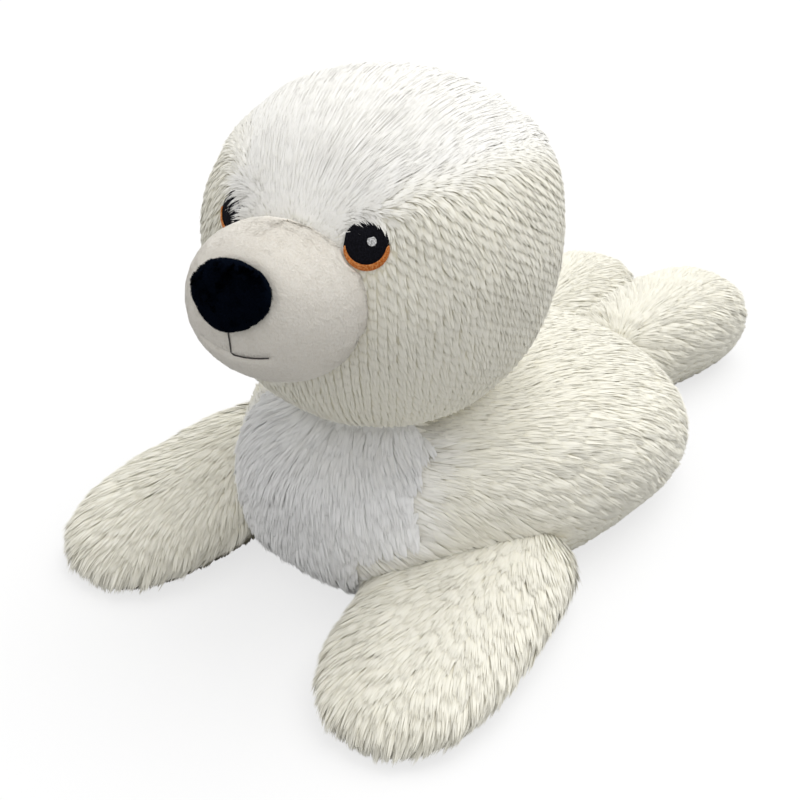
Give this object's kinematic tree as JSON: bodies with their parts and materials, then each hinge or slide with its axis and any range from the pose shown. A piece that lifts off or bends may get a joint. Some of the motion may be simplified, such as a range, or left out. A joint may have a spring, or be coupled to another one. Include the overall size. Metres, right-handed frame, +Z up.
{
  "type": "plush seal",
  "caption": "Soft stuffed seal lying on its belly with its head up, front flippers spread forward, hind flippers behind, a velour muzzle and embroidered eyes.",
  "frame": {"origin": "middle of the underside of the whole seal's box, on the surface it lies on", "axes": "+Z up, the seal faces -Y, +X to its left, so the belly rests on the XY plane and the length runs along Y"},
  "size_m": [0.2482, 0.4132, 0.242],
  "materials": {
    "plush_cream": "long cream plush pile",
    "plush_white": "long white plush pile",
    "velour_beige": "short beige velour",
    "velvet_black": "short black velvet pile",
    "embroidery_black": "black embroidery thread",
    "embroidery_orange": "orange embroidery thread",
    "embroidery_white": "white embroidery thread",
    "thread_grey": "dark embroidery thread"
  },
  "bodies": {
    "root": {"body": "plush_cream", "chest_panel": "plush_white", "head": "plush_cream", "forehead_panel": "plush_white", "muzzle": "velour_beige", "nose": "velvet_black", "mouth_line": "thread_grey", "mouth_smile": "thread_grey", "left_eye_pupil": "embroidery_black", "left_eye_rim": "embroidery_orange", "left_eye_glint": "embroidery_white", "right_eye_pupil": "embroidery_black", "right_eye_rim": "embroidery_orange", "right_eye_glint": "embroidery_white", "left_front_flipper": "plush_cream", "right_front_flipper": "plush_cream", "left_hind_flipper": "plush_cream", "right_hind_flipper": "plush_cream"}
  },
  "joints": []
}
